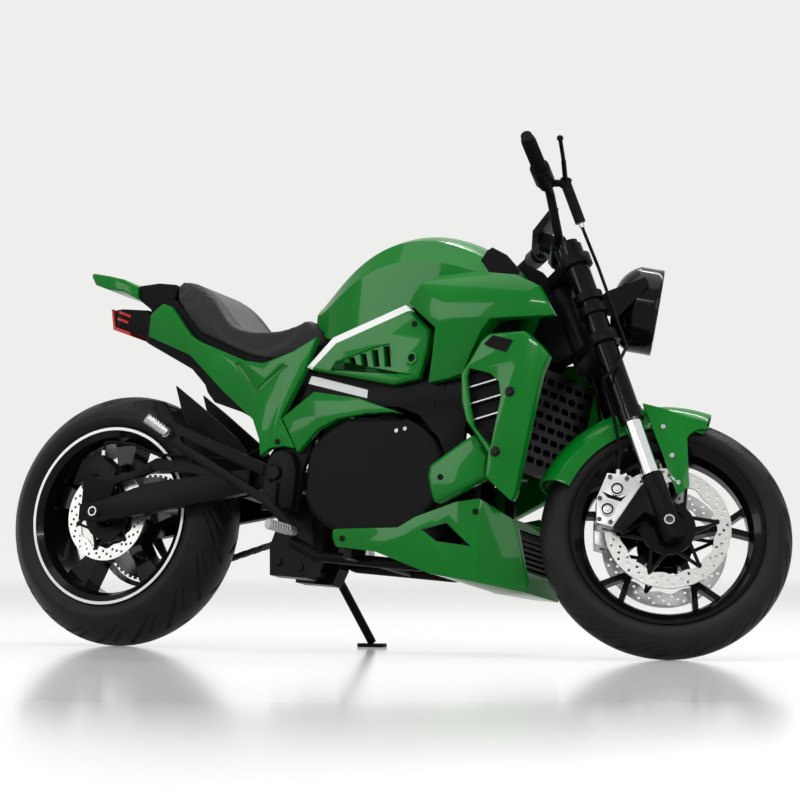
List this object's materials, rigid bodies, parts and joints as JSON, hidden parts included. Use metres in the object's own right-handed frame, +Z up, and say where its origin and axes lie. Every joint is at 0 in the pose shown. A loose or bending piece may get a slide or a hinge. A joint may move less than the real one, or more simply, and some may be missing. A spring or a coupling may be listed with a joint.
{
  "type": "electric motorcycle",
  "caption": "Electric roadster motorcycle in green and black, leaning on its side stand, with a turning fork, spinning wheels and a folding stand",
  "frame": {"origin": "middle of the machine's box at rest, on the ground", "axes": "+X forward, +Y to the rider's left, +Z up; the machine leans to its left on the stand"},
  "size_m": [2.1242, 0.7314, 1.2497],
  "materials": {
    "green_paint": "gloss",
    "black_metal": "satin",
    "gloss_black": "gloss",
    "black_plastic": "matte",
    "steel": "brushed",
    "bright_alloy": "satin",
    "chrome": "polished",
    "tyre_rubber": "matte",
    "grip_rubber": "matte",
    "seat_cover": "grained",
    "lamp_glass": "clear",
    "red_lens": "gloss"
  },
  "bodies": {
    "chassis": {"arch_panels": "green_paint", "battery_case": "black_metal", "belly_grille": "black_plastic", "belly_pan": "green_paint", "chain": "steel", "drive_sprocket": "steel", "footpegs": "bright_alloy", "frame": "black_metal", "hugger": "black_plastic", "lower_cradle": "black_metal", "mid_arms": "green_paint", "motor_unit": "black_metal", "peg_brackets": "black_metal", "pillion_cowl": "black_plastic", "pivot_bolt": "steel", "pivot_plates": "black_metal", "radiator": "black_metal", "radiator_panels": "green_paint", "rear_axle": "steel", "rear_brake_hose": "grip_rubber", "rear_caliper": "black_metal", "seat": "seat_cover", "side_louvres": "black_plastic", "spoiler": "green_paint", "swingarm": "black_metal", "tail_lamp": "black_plastic", "tail_lens": "red_lens", "tail_panels": "green_paint", "tail_tray": "black_plastic", "tank_cover": "green_paint", "tank_shoulders": "green_paint", "vent_panels": "green_paint"},
    "fork": {"triple_clamps": "black_metal", "fork_tubes": "gloss_black", "fork_stanchions": "chrome", "fork_feet": "black_metal", "front_calipers": "bright_alloy", "front_fender": "green_paint", "headlamp": "gloss_black", "headlamp_lens": "lamp_glass", "lamp_brackets": "black_metal", "handlebar": "black_metal", "grips": "grip_rubber", "switch_housings": "black_plastic", "levers": "bright_alloy", "dash": "black_plastic", "front_axle": "steel", "front_brake_hoses": "grip_rubber"},
    "front_wheel": {"front_tyre": "tyre_rubber", "front_rim": "gloss_black", "front_discs": "steel"},
    "rear_wheel": {"rear_tyre": "tyre_rubber", "rear_rim": "gloss_black", "rear_disc": "steel", "rear_sprocket": "steel"},
    "stand": {"side_stand": "black_metal"}
  },
  "joints": [
    {"name": "steering", "type": "hinge", "parent": "chassis", "child": "fork", "pos_m": [0.75812, -0.10776, 0.27504], "axis": [-0.4184, 0.148, 0.8961], "range_deg": [-59, 0]},
    {"name": "front_wheel_spin", "type": "hinge", "parent": "fork", "child": "front_wheel", "pos_m": [0.78736, -0.08756, 0.28535], "axis": [-0.4479, 0.8247, -0.3454], "continuous": true},
    {"name": "rear_wheel_spin", "type": "hinge", "parent": "chassis", "child": "rear_wheel", "pos_m": [-0.73815, -0.10129, 0.32113], "axis": [-0.0008, 0.9866, -0.1633], "continuous": true},
    {"name": "side_stand", "type": "hinge", "parent": "chassis", "child": "stand", "pos_m": [-0.19065, 0.00865, 0.21117], "axis": [0.0017, 0.9298, 0.3682], "range_deg": [0, 95]}
  ]
}
